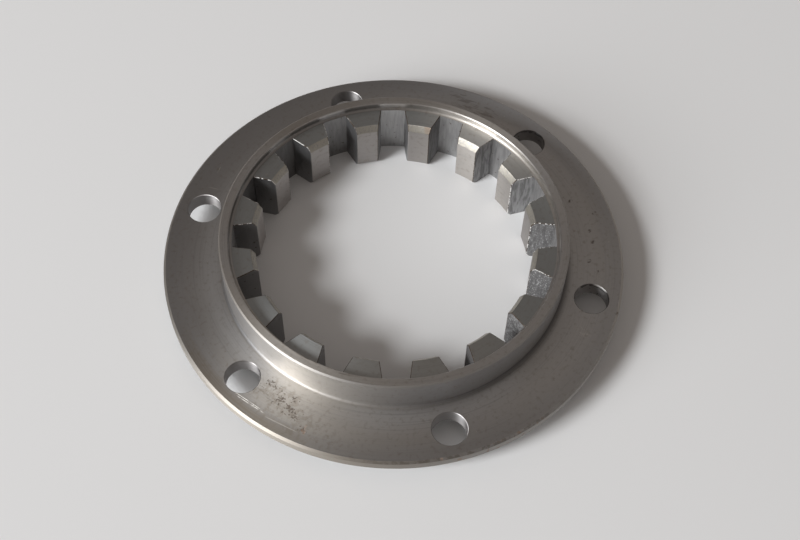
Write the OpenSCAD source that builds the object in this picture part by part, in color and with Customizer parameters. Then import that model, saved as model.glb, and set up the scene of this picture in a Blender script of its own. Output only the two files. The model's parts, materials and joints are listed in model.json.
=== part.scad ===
// Splined hub: a turned steel ring with a bolting flange and sixteen internal spline teeth.
// The Z axis is the axis of the ring, the hub stands on Z = 0, and +X runs through a bolt hole.

/* [Spline] */
// Number of teeth
tooth_count = 16; // [10:2:20]
// Diameter across the tips of the teeth
tip_d = 71.5; // [60:0.1:90]
// Height of a tooth from its root to its tip
tooth_h = 5.95; // [3:0.05:7]
// Width of a tooth at its tip
tip_w = 5.9; // [3:0.1:7]
// Lean of each side of a tooth away from the tooth's middle line, in degrees
flank_angle = 19; // [0:0.5:22]
// Length of the teeth along the axis
tooth_length = 15.6; // [12:0.1:30]
// Turn of the spline from a gap that faces the first bolt hole, in degrees
spline_turn = 0.8; // [-11:0.1:11]
// Depth of the lead-in at the upper end of each tooth, along the radius
lead_top_w = 1.15; // [0.2:0.05:2]
// Height of the lead-in at the upper end of each tooth
lead_top_h = 1.7; // [0.2:0.05:3]
// Depth of the lead-in at the lower end of each tooth, along the radius
lead_low_w = 0.9; // [0.2:0.05:2]
// Height of the lead-in at the lower end of each tooth
lead_low_h = 1.05; // [0.2:0.05:3]

/* [Counterbore] */
// Step from the roots of the teeth out to the wall of the counterbore
counterbore_step = 0.75; // [0.2:0.05:2]
// Depth of the counterbore, from the top of the collar to the tops of the teeth
counterbore_depth = 2.1; // [1.2:0.1:4]
// Bevel at the mouth of the counterbore
counterbore_bevel = 0.25; // [0.1:0.05:0.5]
// Fillet round the floor of the counterbore
counterbore_fillet = 0.7; // [0.2:0.05:0.8]

/* [Collar] */
// Wall of the collar round the counterbore
collar_wall = 2.45; // [1.5:0.05:8]
// Bevel on the outer top edge of the collar
collar_bevel = 0.4; // [0.1:0.05:0.7]
// Fillet where the collar meets the flange
collar_fillet = 0.7; // [0.2:0.1:1]

/* [Flange] */
// Width of the flange from the wall of the collar to the rim
flange_w = 15.1; // [13:0.1:30]
// Thickness of the flange
flange_t = 4.5; // [3:0.1:8]
// Bevel on the upper rim of the flange
rim_bevel_top = 0.6; // [0.2:0.1:1]
// Width of the bevel on the lower rim of the flange, along the radius
rim_bevel_low_w = 2.6; // [0.2:0.1:4]
// Height of the bevel on the lower rim of the flange
rim_bevel_low_h = 1.7; // [0.2:0.1:2]

/* [Bolt holes] */
// Number of bolt holes
bolt_count = 6; // [3:1:12]
// Distance of the bolt circle from the rim
bolt_inset = 7.5; // [6.5:0.1:8.5]
// Diameter of each bolt hole
bolt_hole_d = 8.8; // [5:0.1:10.5]
// Edge break round both ends of each bolt hole
bolt_hole_break = 0.15; // [0.1:0.05:0.5]

/* [Pilot] */
// Wall of the pilot ring below the flange, outside the roots of the teeth
pilot_wall = 3.2; // [1.5:0.05:5]
// Height of the pilot ring below the flange
pilot_h = 3.3; // [1:0.1:6]
// Bevel on the lower edge of the pilot ring
pilot_bevel = 0.5; // [0.1:0.1:0.8]

/* [Hidden] */
$fn = 128;

// Length by which a cutting shape passes the face that it cuts
overcut = 1;

tip_r = tip_d / 2;
root_r = tip_r + tooth_h;
counterbore_r = root_r + counterbore_step;
collar_r = counterbore_r + collar_wall;
flange_r = collar_r + flange_w;
pilot_r = root_r + pilot_wall;
bolt_circle_r = flange_r - bolt_inset;
bolt_hole_r = bolt_hole_d / 2;

flange_bottom = pilot_h;
flange_top = flange_bottom + flange_t;
collar_top = tooth_length + counterbore_depth;

// Half of the angle from one tooth to the next
half_pitch = 180 / tooth_count;

// Half of a tooth's width at a distance u along its middle line
function half_tooth(u) = tip_w / 2 + (u - tip_r) * tan(flank_angle);

// Point on the side of a tooth, seen from the middle of the gap beside it
function flank_point(u) = [
    u * cos(half_pitch) + half_tooth(u) * sin(half_pitch),
    u * sin(half_pitch) - half_tooth(u) * cos(half_pitch)
];

// The same point on the other side of the gap
function across(p) = [p[0], -p[1]];

// Concave corner of radius r, filling the first quadrant
module corner_fill(r) {
    difference() {
        square(r);
        translate([r, r]) circle(r);
    }
}

// Half section of the ring before its gaps and bolt holes are cut
module section() {
    polygon([
        [tip_r + lead_low_w, 0],
        [pilot_r - pilot_bevel, 0],
        [pilot_r, pilot_bevel],
        [pilot_r, flange_bottom],
        [flange_r - rim_bevel_low_w, flange_bottom],
        [flange_r, flange_bottom + rim_bevel_low_h],
        [flange_r, flange_top - rim_bevel_top],
        [flange_r - rim_bevel_top, flange_top],
        [collar_r, flange_top],
        [collar_r, collar_top - collar_bevel],
        [collar_r - collar_bevel, collar_top],
        [counterbore_r + counterbore_bevel, collar_top],
        [counterbore_r, collar_top - counterbore_bevel],
        [counterbore_r, tooth_length],
        [tip_r + lead_top_w, tooth_length],
        [tip_r, tooth_length - lead_top_h],
        [tip_r, lead_low_h]
    ]);
    translate([collar_r, flange_top]) corner_fill(collar_fillet);
    translate([counterbore_r, tooth_length]) mirror([1, 0]) corner_fill(counterbore_fillet);
}

// Gap between two teeth, centred on +X, with a round root
module tooth_gap() {
    mouth = flank_point(tip_r - overcut);
    root = flank_point(root_r + overcut);
    intersection() {
        translate([0, 0, -overcut])
            linear_extrude(tooth_length + 2 * overcut)
                polygon([mouth, across(mouth), across(root), root]);
        translate([0, 0, -2 * overcut]) cylinder(r = root_r, h = tooth_length + 4 * overcut);
    }
}

// Bolt hole on +X with a broken edge at both ends
module bolt_hole() {
    wide_r = bolt_hole_r + bolt_hole_break;
    translate([bolt_circle_r, 0, flange_bottom]) {
        translate([0, 0, -overcut]) cylinder(r = bolt_hole_r, h = flange_t + 2 * overcut);
        translate([0, 0, flange_t - bolt_hole_break])
            cylinder(r1 = bolt_hole_r, r2 = wide_r, h = bolt_hole_break);
        cylinder(r1 = wide_r, r2 = bolt_hole_r, h = bolt_hole_break);
    }
}

module splined_hub() {
    color([0.43, 0.42, 0.41])
        difference() {
            rotate_extrude() section();
            for (i = [0 : tooth_count - 1])
                rotate(spline_turn + 2 * half_pitch * i) tooth_gap();
            for (i = [0 : bolt_count - 1])
                rotate(360 / bolt_count * i) bolt_hole();
        }
}

splined_hub();
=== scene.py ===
"""Dresses the splined hub: a turned steel ring on a pale table in soft side light."""

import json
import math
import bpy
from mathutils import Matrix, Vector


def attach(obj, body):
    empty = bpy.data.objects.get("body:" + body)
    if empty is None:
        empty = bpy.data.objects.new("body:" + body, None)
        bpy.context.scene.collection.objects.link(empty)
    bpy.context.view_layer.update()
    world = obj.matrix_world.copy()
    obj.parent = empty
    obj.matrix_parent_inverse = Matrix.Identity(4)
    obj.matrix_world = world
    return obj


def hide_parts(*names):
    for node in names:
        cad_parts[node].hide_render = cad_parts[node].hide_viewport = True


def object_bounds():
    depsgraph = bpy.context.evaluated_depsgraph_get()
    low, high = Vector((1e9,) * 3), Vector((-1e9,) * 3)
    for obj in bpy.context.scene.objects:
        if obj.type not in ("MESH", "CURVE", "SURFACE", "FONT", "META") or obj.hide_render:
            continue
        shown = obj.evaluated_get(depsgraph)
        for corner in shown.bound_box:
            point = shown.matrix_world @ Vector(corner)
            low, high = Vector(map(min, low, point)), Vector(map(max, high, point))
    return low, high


bl_info = {
    "name": "Splined hub",
    "version": (1, 0, 0),
    "blender": (4, 5, 0),
    "location": "View3D > Sidebar > Hub",
    "description": "Models a turned steel hub with internal spline teeth, and its stage",
    "category": "Object",
}

import bmesh
import bpy
from bpy.props import FloatProperty, FloatVectorProperty, IntProperty, PointerProperty
from mathutils import Matrix, Vector

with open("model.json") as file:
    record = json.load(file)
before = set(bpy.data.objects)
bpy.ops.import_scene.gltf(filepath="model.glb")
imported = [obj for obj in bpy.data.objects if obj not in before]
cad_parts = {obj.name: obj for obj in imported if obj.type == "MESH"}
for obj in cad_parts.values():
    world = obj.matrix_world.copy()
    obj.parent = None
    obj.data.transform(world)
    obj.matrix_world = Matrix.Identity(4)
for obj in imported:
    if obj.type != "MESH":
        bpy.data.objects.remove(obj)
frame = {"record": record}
CAD_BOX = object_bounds()
MOUNTS = {mount["name"]: mount for mount in frame["record"]["mounts"]}

MM = 0.001
NODE = "splined_hub"

# Facets round the ring, round a bolt hole, along a fillet's arc and over one pitch of the teeth
RING_STEPS = 288
HOLE_STEPS = 64
FILLET_STEPS = 8
PITCH_STEPS = 16

# Points closer than this are one point, and faces that meet at less than this angle are one face
MERGE_DISTANCE = 1e-7
FLAT_ANGLE = math.radians(0.5)

# Edges of a tooth above the first angle are rounded, and edges above the second are shaded sharp
ROUNDED_ANGLE = math.radians(20)
SHARP_ANGLE = math.radians(15)

# How far the back of a tooth sinks into the ring, and how far a drill passes the flange
TOOTH_SEAT = 0.3 * MM
OVERCUT = 1 * MM

# Half of the table's width in metres, and the width of the camera's sensor in millimetres
TABLE_REACH = 4
SENSOR_WIDTH = 36

# Places of rust on the flange, in millimetres on the plan
RUST_DOTS = (
    (45.7, -21.3), (47.3, -28.4), (41.9, -31.3), (39.9, -34.3), (34.6, -37.5), (33.5, -41.2),
    (27.6, -52.9),
)
RUST_CLUMPS = (
    (-50, -14.6), (-50.7, -16.8), (-50, -11.3), (-47.3, -14), (-48.6, -6.6), (-51.9, -20.5),
    (-51.6, -21.3),
)

# Scratches on the flange: strength, start, end and width, in millimetres on the plan
SCRATCHES = (
    (1, (-56.7, -3.6), (-55.4, -10.4), 0.12),
    (1, (-56.4, -2.5), (-55.3, -9), 0.1),
    (0.5, (-55.5, -12.7), (-53.3, -19.6), 0.1),
    (0.5, (-14.6, 52.8), (-15.6, 52.3), 0.15),
    (0.5, (-20.6, 49.6), (-19.8, 48.2), 0.12),
)


def mount_size(name, key):
    """A size of one of the record's mounts, in millimetres."""
    return MOUNTS[name]["dims"][key]


def mount_height(name):
    """Height of one of the record's mounts above the table, in millimetres."""
    return MOUNTS[name]["pos_m"][2] / MM


def length(name, description, millimetres):
    return FloatProperty(
        name=name, description=description, default=millimetres * MM, unit="LENGTH", precision=5
    )


def angle(name, description, degrees):
    return FloatProperty(
        name=name, description=description, default=math.radians(degrees), subtype="ANGLE"
    )


def colour(name, description, rgb):
    return FloatVectorProperty(
        name=name, description=description, default=rgb, subtype="COLOR", min=0, max=1
    )


def number(name, description, value):
    return FloatProperty(name=name, description=description, default=value)


def count(name, description, value):
    return IntProperty(name=name, description=description, default=value)


class HubSizes(bpy.types.PropertyGroup):
    """Sizes of the hub, which are those of the solid that it stands for."""

    tooth_count: count("Teeth", "Number of spline teeth", mount_size("spline", "count"))
    tip_r: length("Tip radius", "Radius to the tips of the teeth", mount_size("spline", "r_mm"))
    tooth_length: length(
        "Tooth length", "Length of the teeth along the axis", mount_size("spline", "length_mm")
    )
    tooth_h: length("Tooth height", "From the root of a tooth to its tip", 5.95)
    tip_w: length("Tip width", "Width of a tooth at its tip", 5.9)
    flank_angle: angle("Flank angle", "Lean of a tooth's sides from its middle line", 19)
    spline_turn: angle("Spline turn", "Turn of a gap from the first bolt hole", 0.8)
    lead_top_w: length("Upper lead-in depth", "Radial depth of the upper lead-in", 1.15)
    lead_top_h: length("Upper lead-in height", "Height of the upper lead-in", 1.7)
    lead_low_w: length("Lower lead-in depth", "Radial depth of the lower lead-in", 0.9)
    lead_low_h: length("Lower lead-in height", "Height of the lower lead-in", 1.05)
    tooth_round: length("Tooth edges", "Rounding of the edges of a tooth", 0.15)
    counterbore_step: length("Counterbore step", "From the roots to the counterbore's wall", 0.75)
    counterbore_bevel: length("Counterbore bevel", "Bevel at the counterbore's mouth", 0.25)
    counterbore_fillet: length("Counterbore fillet", "Fillet round the counterbore's floor", 0.7)
    collar_r: length("Collar radius", "Outside radius of the collar", mount_size("collar", "r_mm"))
    collar_bevel: length("Collar bevel", "Bevel on the collar's outer top edge", 0.4)
    collar_fillet: length("Collar fillet", "Fillet between the collar and the flange", 0.7)
    collar_top: length("Collar top", "Height of the collar above the table", CAD_BOX[1].z / MM)
    flange_r: length("Flange radius", "Outside radius of the flange", CAD_BOX[1].x / MM)
    flange_t: length("Flange thickness", "Thickness of the flange", 4.5)
    rim_bevel_top: length("Upper rim bevel", "Bevel on the flange's upper rim", 0.6)
    rim_bevel_low_w: length("Lower rim bevel width", "Width of the flange's lower bevel", 2.6)
    rim_bevel_low_h: length("Lower rim bevel height", "Height of the flange's lower bevel", 1.7)
    pilot_r: length(
        "Pilot radius", "Radius of the ring under the flange", mount_size("pilot", "r_mm")
    )
    pilot_h: length("Pilot height", "Height of that ring", mount_height("flange_seat"))
    pilot_bevel: length("Pilot bevel", "Bevel on that ring's lower edge", 0.5)
    bolt_count: count("Bolt holes", "Number of bolt holes", mount_size("bolts", "count"))
    bolt_circle_r: length(
        "Bolt circle", "Radius to the bolt holes", mount_size("bolts", "pcd_mm") / 2
    )
    bolt_hole_r: length(
        "Bolt hole radius", "Radius of a bolt hole", mount_size("bolts", "hole_r_mm")
    )
    bolt_hole_break: length("Hole edge break", "Bevel round a bolt hole's ends", 0.15)


class SteelColours(bpy.types.PropertyGroup):
    """Colours of the hub's steel."""

    steel: colour("Steel", "Clean turned steel", (0.47, 0.457, 0.45))
    film: colour("Film", "Brown film on the turned faces", (0.458, 0.43, 0.393))
    # Also laid on the collar wall as painted shade
    groove_and_shade: colour("Groove", "Dull faces and bottoms of the lathe rings", (0.285, 0.282, 0.287))
    tooth_tip: colour("Tooth tips", "Bored tips of the teeth", (0.428, 0.405, 0.392))
    tooth_top: colour("Tooth tops", "Faced tops of the teeth", (0.362, 0.374, 0.374))
    lead_in: colour("Lead-ins", "Filed lead-ins of the teeth", (0.4, 0.376, 0.33))
    broached: colour("Broached", "Roots between the teeth", (0.45, 0.446, 0.445))
    broached_dark: colour("Broached, dark", "Dark sides of the teeth", (0.3, 0.298, 0.303))
    torn: colour("Torn", "Torn sides of the teeth", (0.38, 0.378, 0.38))
    # Partly painted glint: burrs are painted near white, standing in for the glints on them
    burr_glint: colour("Burr", "Bright burrs on the edges of the teeth", (0.8, 0.79, 0.77))
    stain: colour("Stain", "Brown stains", (0.235, 0.199, 0.154))
    pit: colour("Pit", "Dark rust pits", (0.1, 0.075, 0.055))
    # Also laid on as painted shade in the counterbore's lower corner and along the collar's foot
    dirt_and_shade: colour("Dirt", "Dark dirt in corners", (0.1, 0.096, 0.095))
    rust: colour("Rust", "Light rust", (0.27, 0.17, 0.11))
    # Painted light: a pale steel laid on the flange as a painted highlight beside the collar and as
    # painted light on its underside
    painted_light: colour("Rubbed", "Steel rubbed bright beside the collar", (0.6, 0.6, 0.6))
    scratch: colour("Scratch", "Bright scratches", (0.72, 0.7, 0.66))


class StageSettings(bpy.types.PropertyGroup):
    """Table, light and camera."""

    table_colour: colour("Table", "Colour of the table", (0.735, 0.735, 0.735))
    room_dark: colour("Room, dark side", "Light from the dark side", (0.135, 0.121, 0.112))
    room_light: colour("Room, light side", "Light from the light side", (0.275, 0.25, 0.232))
    room_turn: angle("Room azimuth", "Azimuth of the room's light side", 284)
    room_height: angle("Room elevation", "Elevation of the room's light side", 65)
    lamp_colour: colour("Lamps", "Colour of the lamps", (0.97, 0.985, 1))
    view_turn: angle("View azimuth", "Azimuth of the camera, from looking along +Y", -46.23)
    view_height: angle("View elevation", "Elevation of the camera", 57.09)
    view_roll: angle("View roll", "Roll of the camera", 1.594)
    view_distance: length("View distance", "From the camera to the axis of the hub", 342.22)
    view_right: length("View right", "Place of the axis right of the picture's centre", -1.657)
    view_up: length("View up", "Place of the axis above the picture's centre", 0.329)
    view_lens: number("Lens", "Focal length for a 36 mm wide sensor", 57.707)


def settings():
    scene = bpy.context.scene
    return scene.hub_sizes, scene.hub_steel, scene.hub_stage


class Value:
    """What a node gives, so that shader maths reads as an expression."""

    def __init__(self, nodes, socket):
        self.nodes = nodes
        self.socket = socket

    def maths(self, operation, first, second):
        return self.nodes.add("ShaderNodeMath", {"operation": operation}, {0: first, 1: second})

    def __add__(self, other):
        return self.maths("ADD", self, other)

    def __radd__(self, other):
        return self.maths("ADD", other, self)

    def __sub__(self, other):
        return self.maths("SUBTRACT", self, other)

    def __rsub__(self, other):
        return self.maths("SUBTRACT", other, self)

    def __mul__(self, other):
        return self.maths("MULTIPLY", self, other)

    def __rmul__(self, other):
        return self.maths("MULTIPLY", other, self)

    def __truediv__(self, other):
        return self.maths("DIVIDE", self, other)

    def __rtruediv__(self, other):
        return self.maths("DIVIDE", other, self)

    def __pow__(self, other):
        return self.maths("POWER", self, other)


class Nodes:
    """The nodes of a material or of the world."""

    def __init__(self, owner):
        owner.use_nodes = True
        self.tree = owner.node_tree
        self.tree.nodes.clear()

    def add(self, kind, setup, sockets, output=0):
        """Adds a node, sets it up, fills its sockets with values or links, and gives an output."""
        node = self.tree.nodes.new(kind)
        for name, setting in setup.items():
            setattr(node, name, setting)
        for name, value in sockets.items():
            if isinstance(value, Value):
                self.tree.links.new(value.socket, node.inputs[name])
            else:
                node.inputs[name].default_value = value
        return Value(self, node.outputs[output]) if node.outputs else None

    def mix(self, factor, first, second):
        """Colour between two colours, each of them a link or red, green and blue."""
        first, second = (c if isinstance(c, Value) else (*c, 1) for c in (first, second))
        return self.add(
            "ShaderNodeMix", {"data_type": "RGBA"}, {"Factor": factor, 6: first, 7: second}, 2
        )

    def step(self, value, start, end):
        """0 up to start, 1 from end on, and smooth between them. Start may be the larger one."""
        return self.add(
            "ShaderNodeMapRange", {"interpolation_type": "SMOOTHSTEP"},
            {"Value": value, "From Min": start, "From Max": end},
        )


class SteelNodes(Nodes):
    """The nodes of one of the hub's steels. Its patterns lie on the hub in millimetres."""

    def __init__(self, name):
        self.material = bpy.data.materials.new(name)
        super().__init__(self.material)
        metres = self.add("ShaderNodeTexCoord", {}, {}, "Object")
        self.place = self.add(
            "ShaderNodeVectorMath", {"operation": "SCALE"}, {"Vector": metres, "Scale": 1 / MM}
        )
        self.x, self.y, self.z = (
            self.add("ShaderNodeSeparateXYZ", {}, {"Vector": self.place}, axis) for axis in "XYZ"
        )
        self.r = (self.x * self.x + self.y * self.y) ** 0.5

    def band(self, value, low, high, soft):
        """1 between low and high, and 0 from soft outside them."""
        return self.step(value, low - soft, low) * self.step(value, high + soft, high)

    def sector(self, azimuth, reach):
        """1 along an azimuth, in degrees from +X, falling to 0 at reach on both sides of it."""
        turn = math.radians(azimuth)
        towards = (self.x * math.cos(turn) + self.y * math.sin(turn)) / self.r
        return self.step(towards, math.cos(math.radians(reach)), 1)

    def patch(self, x, y, reach_x, reach_y):
        """1 over a point of the plan, falling to 0 on an oval round it."""
        across = (self.x - x) / reach_x
        along = (self.y - y) / reach_y
        return self.step(across * across + along * along, 1, 0)

    def scratch(self, start, end, width):
        """1 on a straight line of the plan between two points, fading just past its ends."""
        run = Vector(end) - Vector(start)
        east, north = run.normalized()
        x, y = self.x - start[0], self.y - start[1]
        across = self.band(x * north - y * east, -width / 2, width / 2, width / 2)
        return across * self.band(x * east + y * north, 0, run.length, 1)

    def noise(self, scale, detail, vector=None):
        """Noise with about scale waves to a millimetre."""
        sockets = {"Vector": vector or self.place, "Scale": scale, "Detail": detail}
        return self.add("ShaderNodeTexNoise", {}, sockets)

    def stretched_noise(self, scale, detail, x, y, z):
        """Noise on coordinates of its own."""
        vector = self.add("ShaderNodeCombineXYZ", {}, {"X": x, "Y": y, "Z": z})
        return self.noise(scale, detail, vector)

    def ring_noise(self, scale, detail, turns):
        """Noise drawn out round the axis, as a lathe tool leaves it, turns times to a radian."""
        # Height counts beside the radius, so that upright walls have rings too
        across = self.r + 1.37 * self.z
        return self.stretched_noise(
            1, detail, self.x / self.r * turns, self.y / self.r * turns, across * scale
        )

    def axial_noise(self, scale, detail, stretch):
        """Noise drawn out along the axis, as a broach leaves it."""
        return self.stretched_noise(scale, detail, self.x, self.y, self.z / stretch)

    def bump(self, height, depth):
        """Normal of a surface that rises by depth millimetres where height is 1."""
        return self.add("ShaderNodeBump", {}, {"Height": height, "Distance": depth * MM})

    def coats(self, base, *coats):
        """Lays coats over a base colour in turn, each given as its amount and its colour."""
        for amount, tone in coats:
            base = self.mix(amount, base, tone)
        return base

    def shade(self, sockets):
        """Ends the material in a metal with these sockets."""
        metal = self.add("ShaderNodeBsdfPrincipled", {}, sockets, "BSDF")
        self.add("ShaderNodeOutputMaterial", {}, {"Surface": metal})
        return self.material


def spin_profile(bm, points, steps, axis_point=(0, 0, 0)):
    """Turns a closed outline of (radius, height) points into a ring round an upright axis."""
    centre = Vector(axis_point)
    corners = [bm.verts.new(centre + Vector((radius, 0, height))) for radius, height in points]
    face = bm.faces.new(corners)
    edges = list(face.edges)
    bm.faces.remove(face)
    bmesh.ops.spin(
        bm, geom=corners + edges, cent=centre, axis=(0, 0, 1), angle=math.tau, steps=steps,
        use_merge=True,
    )
    bmesh.ops.remove_doubles(bm, verts=bm.verts, dist=MERGE_DISTANCE)
    bmesh.ops.recalc_face_normals(bm, faces=bm.faces)


def fillet_arc(centre, radius, start, end):
    """Points on a fillet's arc, from one angle to another in degrees."""
    points = []
    for i in range(FILLET_STEPS + 1):
        turn = math.radians(start + (end - start) * i / FILLET_STEPS)
        points.append((centre[0] + radius * math.cos(turn), centre[1] + radius * math.sin(turn)))
    return points


def ring_section(s):
    """Half section of the hub without its teeth, counterclockwise from the lower inner corner."""
    root = s.tip_r + s.tooth_h
    bore = root + s.counterbore_step
    flange_top = s.pilot_h + s.flange_t
    foot = (s.collar_r + s.collar_fillet, flange_top + s.collar_fillet)
    floor = (bore - s.counterbore_fillet, s.tooth_length + s.counterbore_fillet)
    return [
        (root, 0),
        (s.pilot_r - s.pilot_bevel, 0),
        (s.pilot_r, s.pilot_bevel),
        (s.pilot_r, s.pilot_h),
        (s.flange_r - s.rim_bevel_low_w, s.pilot_h),
        (s.flange_r, s.pilot_h + s.rim_bevel_low_h),
        (s.flange_r, flange_top - s.rim_bevel_top),
        (s.flange_r - s.rim_bevel_top, flange_top),
        *fillet_arc(foot, s.collar_fillet, 270, 180),
        (s.collar_r, s.collar_top - s.collar_bevel),
        (s.collar_r - s.collar_bevel, s.collar_top),
        (bore + s.counterbore_bevel, s.collar_top),
        (bore, s.collar_top - s.counterbore_bevel),
        *fillet_arc(floor, s.counterbore_fillet, 0, -90),
        (root, s.tooth_length),
    ]


def tooth_section(s):
    """Half section of a tooth, whose back is sunk into the ring."""
    back = s.tip_r + s.tooth_h + TOOTH_SEAT
    return [
        (s.tip_r + s.lead_low_w, 0),
        (back, 0),
        (back, s.tooth_length),
        (s.tip_r + s.lead_top_w, s.tooth_length),
        (s.tip_r, s.tooth_length - s.lead_top_h),
        (s.tip_r, s.lead_low_h),
    ]


def everything(bm):
    return [*bm.verts, *bm.edges, *bm.faces]


def is_upright(face):
    return abs(face.normal.z) < 0.1


def cut_side(bm, point, normal):
    """Cuts off what lies beyond a plane and closes the cut with a face."""
    cut = bmesh.ops.bisect_plane(
        bm, geom=everything(bm), plane_co=point, plane_no=normal, clear_outer=True
    )
    rim = [g for g in cut["geom_cut"] if isinstance(g, bmesh.types.BMEdge)]
    bmesh.ops.contextual_create(bm, geom=rim)


def mark_tooth_faces(bm):
    """Gives a tooth's upper lead-in, the face that leans up, and its two sides their finishes."""
    for face in bm.faces:
        outwards = face.calc_center_median().xy.normalized()
        looks_sideways = abs(face.normal.xy.dot(outwards)) < 0.5
        if 0.3 < face.normal.z < 0.8:
            face.material_index = FILED
        elif is_upright(face) and looks_sideways:
            face.material_index = TORN if outwards.cross(face.normal.xy) < 0 else BROACHED


def round_tooth_edges(bm, s):
    """Rounds a tooth's edges, with burrs round its torn side and on top of its other side."""
    root = s.tip_r + s.tooth_h
    sharp = [
        e for e in bm.edges
        if e.calc_face_angle() > ROUNDED_ANGLE and min(v.co.xy.length for v in e.verts) < root
    ]
    rounded = bmesh.ops.bevel(
        bm, geom=sharp, offset=s.tooth_round, segments=2, profile=0.5, affect="EDGES", material=-1,
        clamp_overlap=True,
    )
    for face in rounded["faces"]:
        outwards = face.calc_center_median().xy.normalized()
        sideways = outwards.cross(face.normal.xy)
        if sideways < -0.15 or (sideways > 0.15 and face.normal.z > 0.3):
            face.material_index = BURRED


def add_teeth(bm, s):
    """One tooth is spun over a pitch, cut to its two sides, rounded and repeated round the ring."""
    pitch = math.tau / s.tooth_count
    middle = s.spline_turn + pitch / 2
    corners = [bm.verts.new((r, 0, z)) for r, z in tooth_section(s)]
    start = Matrix.Rotation(s.spline_turn, 3, "Z")
    bmesh.ops.rotate(bm, verts=corners, cent=(0, 0, 0), matrix=start)
    face = bm.faces.new(corners)
    bmesh.ops.spin(
        bm, geom=[face, *face.edges, *corners], cent=(0, 0, 0), axis=(0, 0, 1), angle=pitch,
        steps=PITCH_STEPS,
    )
    bmesh.ops.recalc_face_normals(bm, faces=bm.faces)
    for side in (-1, 1):
        point = Matrix.Rotation(middle, 3, "Z") @ Vector((s.tip_r, side * s.tip_w / 2, 0))
        normal = Vector((0, side, 0))
        normal.rotate(Matrix.Rotation(middle + side * s.flank_angle, 3, "Z"))
        cut_side(bm, point, normal)
    bmesh.ops.dissolve_limit(
        bm, angle_limit=FLAT_ANGLE, verts=bm.verts, edges=bm.edges, delimit=set()
    )
    bmesh.ops.recalc_face_normals(bm, faces=bm.faces)
    mark_tooth_faces(bm)
    round_tooth_edges(bm, s)
    bmesh.ops.spin(
        bm, geom=everything(bm), cent=(0, 0, 0), axis=(0, 0, 1), angle=math.tau - pitch,
        steps=s.tooth_count - 1, use_duplicate=True,
    )
    bmesh.ops.recalc_face_normals(bm, faces=bm.faces)


def add_bolt_drills(bm, s):
    """Shapes of the bolt holes, with their broken edges, to be cut from the flange."""
    top = s.pilot_h + s.flange_t
    wide = s.bolt_hole_r + s.bolt_hole_break
    outline = [
        (0, s.pilot_h - OVERCUT),
        (wide, s.pilot_h - OVERCUT),
        (wide, s.pilot_h),
        (s.bolt_hole_r, s.pilot_h + s.bolt_hole_break),
        (s.bolt_hole_r, top - s.bolt_hole_break),
        (wide, top),
        (wide, top + OVERCUT),
        (0, top + OVERCUT),
    ]
    for i in range(s.bolt_count):
        turn = math.tau * i / s.bolt_count
        centre = Vector((s.bolt_circle_r * math.cos(turn), s.bolt_circle_r * math.sin(turn), 0))
        drill = bmesh.new()
        spin_profile(drill, outline, HOLE_STEPS, centre)
        for face in drill.faces:
            face.material_index = DRILLED
        shape = bpy.data.meshes.new("drill")
        drill.to_mesh(shape)
        drill.free()
        bm.from_mesh(shape)
        bpy.data.meshes.remove(shape)


def mark_roots(bm, s):
    """The wall between the teeth is broached, not turned."""
    reach = s.tip_r + s.tooth_h + 0.01 * MM
    for face in bm.faces:
        if is_upright(face) and face.calc_center_median().xy.length < reach:
            face.material_index = BROACHED


def mesh_object(name, bm, materials):
    mesh = bpy.data.meshes.new(name)
    bm.to_mesh(mesh)
    bm.free()
    for material in materials:
        mesh.materials.append(material)
    made = bpy.data.objects.new(name, mesh)
    bpy.context.scene.collection.objects.link(made)
    return made


def combine(body, tool, operation):
    """Joins or cuts body with tool, keeps the result in body's mesh and removes tool."""
    step = body.modifiers.new(operation.title(), "BOOLEAN")
    step.operation = operation
    step.solver = "MANIFOLD"
    step.object = tool
    evaluated = body.evaluated_get(bpy.context.evaluated_depsgraph_get())
    result = bpy.data.meshes.new_from_object(evaluated)
    body.modifiers.clear()
    old = body.data
    body.data = result
    result.name = body.name
    bpy.data.meshes.remove(old)
    used = tool.data
    bpy.data.objects.remove(tool)
    bpy.data.meshes.remove(used)


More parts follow.
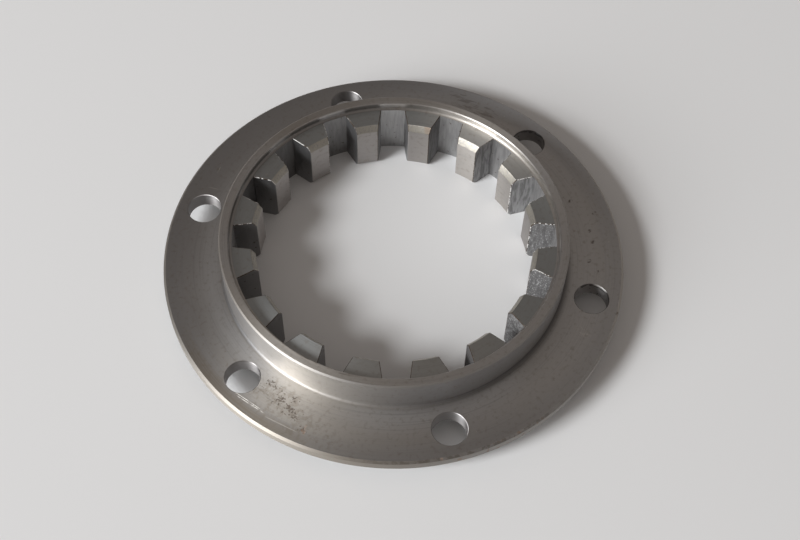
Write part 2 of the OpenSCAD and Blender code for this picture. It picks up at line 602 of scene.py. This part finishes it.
class TurnedNodes(SteelNodes):
    """The nodes of the turned steel. Each part of the hub is 1 where it lies and 0 elsewhere."""

    def __init__(self, name, s):
        super().__init__(name)
        root, collar, rim = (r / MM for r in (s.tip_r + s.tooth_h, s.collar_r, s.flange_r))
        bore = root + s.counterbore_step / MM
        tooth_top, flange_bottom, flange_top, collar_top = (
            z / MM for z in (s.tooth_length, s.pilot_h, s.pilot_h + s.flange_t, s.collar_top)
        )
        r, z = self.r, self.z

        self.teeth = self.step(r, root + 0.05, root - 0.05)
        self.tooth_tops = self.step(z, tooth_top - 0.2, tooth_top - 0.1)
        self.counterbore = self.step(r, bore + 0.15, bore + 0.05) * (1 - self.teeth)
        self.corner = self.counterbore * self.step(z, tooth_top + 1.7, tooth_top + 1)

        below_top = self.step(z, collar_top, collar_top - 0.5)
        self.land = self.step(z, collar_top - 0.1, collar_top - 0.05)
        self.mouth = self.band(r, bore - 0.45, bore + 0.55, 0.5) * self.land
        self.collar_edge = self.band(r, collar - 0.38, collar - 0.02, 0.02)
        self.collar_wall = self.band(r, collar - 0.02, collar + 0.5, 0.02) * below_top
        low = self.step(z, flange_top + 0.8, flange_top + 0.7)
        self.fillet = self.band(r, collar + 0.05, collar + 0.6, 0.1) * low
        near_wall = self.band(r, collar, collar + 0.2, 2) * self.step(r, collar - 0.2, collar - 0.1)
        self.foot = near_wall * self.band(z, flange_top, flange_top + 0.3, 0.7)

        self.flange = self.step(r, collar + 0.3, collar + 1.5)
        self.inner_flange = self.step(r, rim - 6, rim - 13)
        self.outer_flange = self.step(r, rim - 8, rim - 1)
        self.outermost_flange = self.step(r, rim - 7, rim - 3)
        self.rim_edge = self.step(r, rim - 0.65, rim - 0.55)
        self.rim_bevel = self.rim_edge * (1 - self.step(r, rim - 0.06, rim - 0.04))
        below = self.step(z, flange_bottom + 1.6, flange_bottom + 1.5)
        inside_rim = self.step(r, rim - 0.05, rim - 0.1)
        self.underside = below * self.step(r, root, root + 0.5) * inside_rim

        self.rings = self.ring_noise(3.2, 3, 2)
        self.wide_rings = self.ring_noise(0.7, 2, 1)
        self.clouds = self.noise(0.07, 3)
        self.mottle = self.noise(0.9, 4)
        uneven_r = r + 2 * self.clouds + self.mottle
        self.by_rim = self.step(uneven_r, rim - 3.2, rim) * (1 - self.rim_edge)


def turned_faces(n, look):
    """Colour of the turned faces: steel under a brown film, darker in places, with painted shade on
    the collar wall and painted light beside the collar and under the flange.
    """
    filmed = 0.4 * n.step(n.clouds + 0.35 * n.wide_rings, 0.45, 0.95) + 0.8 * n.sector(189, 45)
    # Painted shade on the collar wall's near right, which reflects the dark side; the wall is also
    # darker all round and where the lamp's highlight falls
    collar_darkening = 0.15 + 0.6 * n.sector(269, 60) + 0.5 * n.sector(164, 26)
    # Painted highlight: the flange is painted paler beside the collar, and a little towards the
    # near right
    sheen_by_collar = n.inner_flange * (0.55 * n.sector(135, 75) + 0.9 * n.sector(239, 34))
    painted_light = sheen_by_collar + 0.25 * n.sector(292, 45)
    filmed_teeth = 0.5 * n.sector(6, 35) + 0.35 * n.sector(232, 50)
    return n.coats(
        look.steel,
        (filmed, look.film),
        (0.6 * n.sector(95, 90) * n.flange, look.groove_and_shade),
        # Painted shade on the collar wall
        (collar_darkening * n.collar_wall, look.groove_and_shade),
        (0.45 * n.sector(168, 22) * n.flange, look.groove_and_shade),
        (0.8 * n.sector(163, 22) * n.fillet, look.groove_and_shade),
        (0.9 * n.sector(0, 55) * n.counterbore, look.film),
        # Painted light: the flange's underside is painted pale, so that it throws more light onto
        # the table under the flange
        (n.underside, look.painted_light),
        (0.45 * n.flange * n.outer_flange, look.groove_and_shade),
        (0.45 * n.sector(22, 45) * n.outermost_flange, look.groove_and_shade),
        # Painted highlight on the flange beside the collar
        (painted_light * n.flange, look.painted_light),
        (n.teeth, n.mix(n.tooth_tops, look.tooth_tip, look.tooth_top)),
        (filmed_teeth * n.teeth, look.film),
        (0.35 * n.step(n.rings, 0.5, 0.25), look.groove_and_shade),
        (0.4 * n.step(n.mottle, 0.5, 0.8), look.stain),
    )


def turned_edges(n, look, base):
    """Worn and stained edges of the rim and of the collar, over a base colour."""
    ragged = n.step(n.mottle, 0.45, 0.6) * n.sector(243, 34) * n.rim_bevel
    stained_land = 0.4 * n.sector(18, 40) + 0.35 * n.sector(74, 28)
    return n.coats(
        base,
        (0.8 * (n.rim_edge + n.collar_edge), look.film),
        (0.4 * n.collar_edge * (1 - n.sector(134, 60)), look.groove_and_shade),
        (0.6 * n.sector(25, 55) * n.rim_edge, look.groove_and_shade),
        (0.5 * n.sector(258, 45) * n.rim_edge, look.groove_and_shade),
        (0.4 * ragged, look.pit),
        (0.4 * n.sector(205, 45) * n.rim_edge, look.stain),
        (stained_land * n.land, look.stain),
        (1.3 * n.rings * n.by_rim * n.sector(182, 27), look.stain),
    )


def rust_marks(n):
    """Blotches, specks, streaks and patches of rust."""
    spread = n.patch(-50.5, -13.5, 6, 17) + 0.25 * n.patch(-48.5, -27, 5, 5)
    blotches = n.step(n.noise(0.8, 5) + 0.1 * spread, 0.52, 0.72) * n.step(spread, 0, 0.4)
    clumps = sum(0.75 * n.patch(x, y, 1.4, 1.8) for x, y in RUST_CLUMPS)
    cluster = 0.7 * n.patch(-50, -11, 4.5, 12) + clumps
    scatter = n.step(n.noise(1.9, 4) + 0.19 * cluster, 0.68, 0.84) * n.flange
    dots = sum(n.patch(x, y, 0.9, 0.6) for x, y in RUST_DOTS)
    specks = scatter + dots * n.step(n.noise(1.3, 3), 0.42, 0.62)
    stained = n.patch(50.3, 22, 4, 7) + n.patch(51.9, 14.5, 3, 4)
    streaked = n.ring_noise(1.6, 4, 14) + 0.14 * stained
    streaks = n.step(streaked, 0.62, 0.72) * n.step(stained, 0, 0.3)
    rusted = n.sector(245, 25) * n.rim_edge + 1.5 * n.patch(-51.8, -20.9, 2, 2)
    patches = n.step(n.noise(0.6, 3) + 0.18 * rusted, 0.72, 0.86)
    return blotches * n.flange, specks, streaks * n.flange, patches


def scratch_marks(n):
    """Scratches, scuffs and nicks on the flange."""
    lines = sum(strength * n.scratch(*line) for strength, *line in SCRATCHES)
    scuffs = n.patch(17.3, -50.6, 1.5, 3) * n.step(n.noise(2, 1), 0.55, 0.65)
    nicks = 0.5 * n.step(n.noise(1.2, 2), 0.77, 0.8) + 0.35 * scuffs
    return (lines * n.step(n.noise(0.7, 2), 0.3, 0.5) + nicks) * n.flange


def turned_steel(s, look):
    """Satin steel off the lathe, with rings, a brown film, rust specks and a few scratches."""
    n = TurnedNodes("turned", s)
    blotches, specks, streaks, rust = rust_marks(n)
    scratches = scratch_marks(n)
    smears = n.step(n.ring_noise(2.5, 3, 8), 0.45, 0.6) * n.sector(202, 14)
    base = n.coats(
        turned_edges(n, look, turned_faces(n, look)),
        (0.35 * blotches, look.stain),
        (0.8 * specks, look.pit),
        (0.36 * streaks, look.pit),
        (0.5 * rust, look.rust),
        # Painted shade in the counterbore's lower corner on the far left, which the lamp doesn't
        # reach
        (0.5 * n.corner * n.sector(95, 75), look.dirt_and_shade),
        # Painted shade: a dark line along the collar's foot on the near right
        (0.7 * n.foot * n.sector(282, 60), look.dirt_and_shade),
        (0.7 * n.mouth * smears, look.pit),
        (0.9 * scratches, look.scratch),
    )
    rough = 0.45 + 0.12 * (n.rings - 0.5) + 0.1 * specks + 0.12 * rust
    rough = rough + 0.12 * n.rim_edge + 0.14 * n.collar_edge + 0.04 * n.collar_wall
    rough = rough + 0.04 * n.fillet - 0.1 * n.counterbore * n.sector(95, 80)
    height = n.rings + 0.8 * n.wide_rings - 1.2 * specks + scratches
    return n.shade(
        {
            "Base Color": base,
            "Metallic": 1 - 0.4 * specks - 0.4 * rust,
            "Roughness": rough,
            "Anisotropic": 0.7,
            "Anisotropic Rotation": 0.25,
            "Normal": n.bump(height, 0.02),
        }
    )


def filed_lead_in(s, look):
    """Lead-ins of the teeth, filed by hand and speckled."""
    n = SteelNodes("filed")
    grain = n.noise(2.2, 3)
    base = n.coats(
        look.lead_in,
        (0.7 * n.step(grain, 0.5, 0.7), look.groove_and_shade),
        (0.5 * n.patch(31.6, 18.8, 1.4, 1.4), look.rust),
    )
    return n.shade(
        {
            "Base Color": base,
            "Metallic": 1.0,
            "Roughness": 0.48 + 0.2 * (grain - 0.5),
            "Normal": n.bump(grain, 0.06),
        }
    )


def broached_steel(s, look):
    """Dark sides of the teeth, and roots with streaks along the axis."""
    n = SteelNodes("broached")
    root = (s.tip_r + s.tooth_h) / MM
    roots = n.step(n.r, root - 0.2, root - 0.1)
    streaks = n.axial_noise(1.6, 3, 8)
    # Roots darker towards the far left
    darkened = 0.5 * n.sector(92, 40) + 0.35 * n.sector(112, 24)
    base = n.coats(
        look.broached_dark,
        (roots, look.broached),
        (0.6 * n.step(streaks, 0.65, 0.3), look.groove_and_shade),
        (darkened * roots, look.dirt_and_shade),
        (0.6 * n.step(n.noise(0.8, 2), 0.66, 0.72), look.pit),
    )
    return n.shade(
        {
            "Base Color": base,
            "Metallic": 1.0,
            "Roughness": 0.5 + 0.2 * (streaks - 0.5),
            "Normal": n.bump(streaks, 0.06),
        }
    )


def torn_steel(s, look):
    """Rough sides of the teeth that take the load, torn into fine flecks."""
    n = SteelNodes("torn")
    grain = n.axial_noise(3, 3, 2)
    streaks = n.axial_noise(1.3, 3, 6)
    roughest = n.sector(302, 38)
    blackened = n.sector(255, 16)
    flecks = n.step(grain, 0.66, 0.54) * (roughest + blackened)
    # Pale points on the torn sides: burrs with their glints painted in
    points = n.step(n.noise(2.6, 1), 0.7, 0.76) * roughest
    smears = n.sector(279, 20) * (0.25 + 0.7 * n.step(n.noise(1.5, 2), 0.42, 0.6))
    # Sides darker on a few of the teeth
    darkened = 0.65 * n.sector(36, 20) + 0.9 * blackened
    base = n.coats(
        look.torn,
        (0.6 * n.step(streaks, 0.42, 0.62), look.dirt_and_shade),
        (darkened + smears, look.dirt_and_shade),
        (0.85 * flecks, look.dirt_and_shade),
        (0.6 * points, look.burr_glint),
    )
    return n.shade(
        {
            "Base Color": base,
            "Metallic": 0.3,
            "Roughness": 0.7 - 0.2 * points,
            "Normal": n.bump(grain, 0.1),
        }
    )


def burred_edge(s, look):
    """Edges of the teeth, with burrs that shine in places."""
    n = SteelNodes("burred")
    burrs = n.noise(2, 2)
    raised = n.step(0.5 * n.noise(0.5, 2) + 0.5 * burrs, 0.49, 0.53)
    # Burrs painted near white and less metallic: real burrs, with their glints painted in
    glinting_burrs = raised * (n.sector(98, 50) + n.sector(325, 52))
    return n.shade(
        {
            "Base Color": n.mix(glinting_burrs, look.pit, look.burr_glint),
            "Metallic": 1 - 0.7 * glinting_burrs,
            "Roughness": 0.6 - 0.1 * glinting_burrs,
            "Normal": n.bump(burrs, 0.25),
        }
    )


def drilled_steel(s, look):
    """Walls of the bolt holes, with the marks of the drill round them."""
    n = SteelNodes("drilled")
    top = (s.pilot_h + s.flange_t) / MM
    marks = n.stretched_noise(1, 3, n.x * 0.1, n.y * 0.1, n.z * 3)
    # Painted shade: a ragged dark band in the walls of the right-hand holes, darkest near their top
    ragged = n.step(n.noise(0.7, 3) + 0.3 * n.step(n.z, top - 1.5, top), 0.6, 0.7)
    ragged = ragged * n.step(n.x, 10, 25) * n.step(n.y, 25, 10)
    # Painted glint: a pale, less metallic patch at the top of one hole's wall, where the lamp's
    # reflection shows
    painted_glint = n.patch(30.8, -44.8, 2.5, 2.5) * n.step(n.z, top - 0.7, top - 0.4)
    base = n.coats(
        look.groove_and_shade, (marks, look.tooth_tip), (0.8 * ragged, look.dirt_and_shade), (painted_glint, look.burr_glint)
    )
    return n.shade(
        {
            "Base Color": base,
            "Metallic": 1 - 0.7 * painted_glint,
            "Roughness": 0.5 + 0.2 * (marks - 0.5),
            "Anisotropic": 0.8,
            "Anisotropic Rotation": 0.25,
            "Normal": n.bump(marks, 0.03),
        }
    )


# The finishes in the order of the hub's material slots. Faces start in the first, the turned one
FINISHES = (turned_steel, filed_lead_in, broached_steel, torn_steel, burred_edge, drilled_steel)
FILED, BROACHED, TORN, BURRED, DRILLED = range(1, len(FINISHES))


def make_table(stage):
    """Lays a pale matt table under the hub."""
    paint = bpy.data.materials.new("table")
    n = Nodes(paint)
    matt = n.add(
        "ShaderNodeBsdfPrincipled", {},
        {
            "Base Color": (*stage.table_colour, 1),
            "Roughness": 0.9,
            "Specular IOR Level": 0.1,
        },
    )
    n.add("ShaderNodeOutputMaterial", {}, {"Surface": matt})
    bm = bmesh.new()
    bmesh.ops.create_grid(bm, x_segments=1, y_segments=1, size=TABLE_REACH)
    table = mesh_object("table", bm, [paint])


def direction(azimuth, elevation):
    """Unit vector towards an azimuth from +X and an elevation."""
    level = math.cos(elevation)
    return Vector((level * math.cos(azimuth), level * math.sin(azimuth), math.sin(elevation)))


def add_lamp(name, tint, azimuth, elevation, distance, half_width, half_height, power):
    """Hangs an oval lamp that points at the hub. Its angles are in degrees, seen from the hub."""
    data = bpy.data.lights.new(name, "AREA")
    data.shape = "ELLIPSE"
    data.size = 2 * distance * math.tan(math.radians(half_width))
    data.size_y = 2 * distance * math.tan(math.radians(half_height))
    data.color = tint
    data.energy = power
    lamp = bpy.data.objects.new(name, data)
    bpy.context.scene.collection.objects.link(lamp)
    away = direction(math.radians(azimuth), math.radians(elevation))
    lamp.location = away * distance
    lamp.rotation_euler = away.to_track_quat("Z", "Y").to_euler()


def make_light(stage):
    """Lights the hub by a room with one lighter side, a window and the glow round it."""
    room = bpy.data.worlds.new("room")
    n = Nodes(room)
    outwards = n.add("ShaderNodeTexCoord", {}, {}, "Generated")
    light_side = direction(stage.room_turn, stage.room_height)
    facing = n.add(
        "ShaderNodeVectorMath", {"operation": "DOT_PRODUCT"}, {0: outwards, 1: light_side}, "Value"
    )
    sky = n.mix(n.step(facing, -0.6, 1), stage.room_dark, stage.room_light)
    glow = n.add("ShaderNodeBackground", {}, {"Color": sky})
    n.add("ShaderNodeOutputWorld", {}, {"Surface": glow})
    bpy.context.scene.world = room
    add_lamp(
        "window", stage.lamp_colour, azimuth=164.5, elevation=34.1, distance=3.2,
        half_width=10.8, half_height=7, power=86,
    )
    add_lamp(
        "window_glow", stage.lamp_colour, azimuth=168, elevation=19.8, distance=3.2,
        half_width=15, half_height=13.5, power=56,
    )


def make_camera(stage):
    """Points the camera at the hub, rolled and set aside as the stage's settings say."""
    turn = Matrix.Rotation(stage.view_turn, 3, "Z")
    rise = stage.view_height
    right = turn @ Vector((1, 0, 0))
    up = turn @ Vector((0, math.sin(rise), math.cos(rise)))
    back = turn @ Vector((0, -math.cos(rise), math.sin(rise)))
    cosine, sine = math.cos(stage.view_roll), math.sin(stage.view_roll)
    right, up = cosine * right + sine * up, cosine * up - sine * right
    place = back * stage.view_distance - right * stage.view_right - up * stage.view_up
    axes = Matrix((right, up, back)).transposed().to_4x4()
    data = bpy.data.cameras.new("camera")
    data.sensor_width = SENSOR_WIDTH
    data.lens = stage.view_lens
    data.clip_start = 10 * MM
    camera = bpy.data.objects.new("camera", data)
    bpy.context.scene.collection.objects.link(camera)
    camera.matrix_world = Matrix.Translation(place) @ axes
    bpy.context.scene.camera = camera


class HUB_OT_hub(bpy.types.Operator):
    """Model the hub and give it its steel"""

    bl_idname = "hub.hub"
    bl_label = "Splined hub"

    def execute(self, context):
        s, look, _ = settings()
        steels = [finish(s, look) for finish in FINISHES]
        ring = bmesh.new()
        spin_profile(ring, ring_section(s), RING_STEPS)
        mark_roots(ring, s)
        hub = mesh_object("hub", ring, steels)
        teeth = bmesh.new()
        add_teeth(teeth, s)
        combine(hub, mesh_object("teeth", teeth, steels), "UNION")
        drills = bmesh.new()
        add_bolt_drills(drills, s)
        combine(hub, mesh_object("drills", drills, steels), "DIFFERENCE")
        hub.data.polygons.foreach_set("use_smooth", [True] * len(hub.data.polygons))
        hub.data.set_sharp_from_angle(angle=SHARP_ANGLE)
        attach(hub, "root")
        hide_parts(NODE)
        return {"FINISHED"}


class HUB_OT_stage(bpy.types.Operator):
    """Lay the table, hang the lamps and set up the camera"""

    bl_idname = "hub.stage"
    bl_label = "Stage"

    def execute(self, context):
        _, _, stage = settings()
        make_table(stage)
        make_light(stage)
        make_camera(stage)
        context.scene.view_settings.view_transform = "Standard"
        return {"FINISHED"}


class HUB_PT_panel(bpy.types.Panel):
    """Lists the operators and the settings"""

    bl_idname = "HUB_PT_panel"
    bl_label = "Splined hub"
    bl_space_type = "VIEW_3D"
    bl_region_type = "UI"
    bl_category = "Hub"

    def draw(self, context):
        for operator in (HUB_OT_stage, HUB_OT_hub):
            self.layout.operator(operator.bl_idname)
        for group in settings():
            box = self.layout.box()
            for name in group.__annotations__:
                box.prop(group, name)


CLASSES = (HubSizes, SteelColours, StageSettings, HUB_OT_stage, HUB_OT_hub, HUB_PT_panel)


def register():
    for cls in CLASSES:
        bpy.utils.register_class(cls)
    bpy.types.Scene.hub_sizes = PointerProperty(type=HubSizes)
    bpy.types.Scene.hub_steel = PointerProperty(type=SteelColours)
    bpy.types.Scene.hub_stage = PointerProperty(type=StageSettings)


def unregister():
    del bpy.types.Scene.hub_stage
    del bpy.types.Scene.hub_steel
    del bpy.types.Scene.hub_sizes
    for cls in reversed(CLASSES):
        bpy.utils.unregister_class(cls)


def main():
    register()
    bpy.ops.hub.stage()
    bpy.ops.hub.hub()


if __name__ == "__main__":
    main()
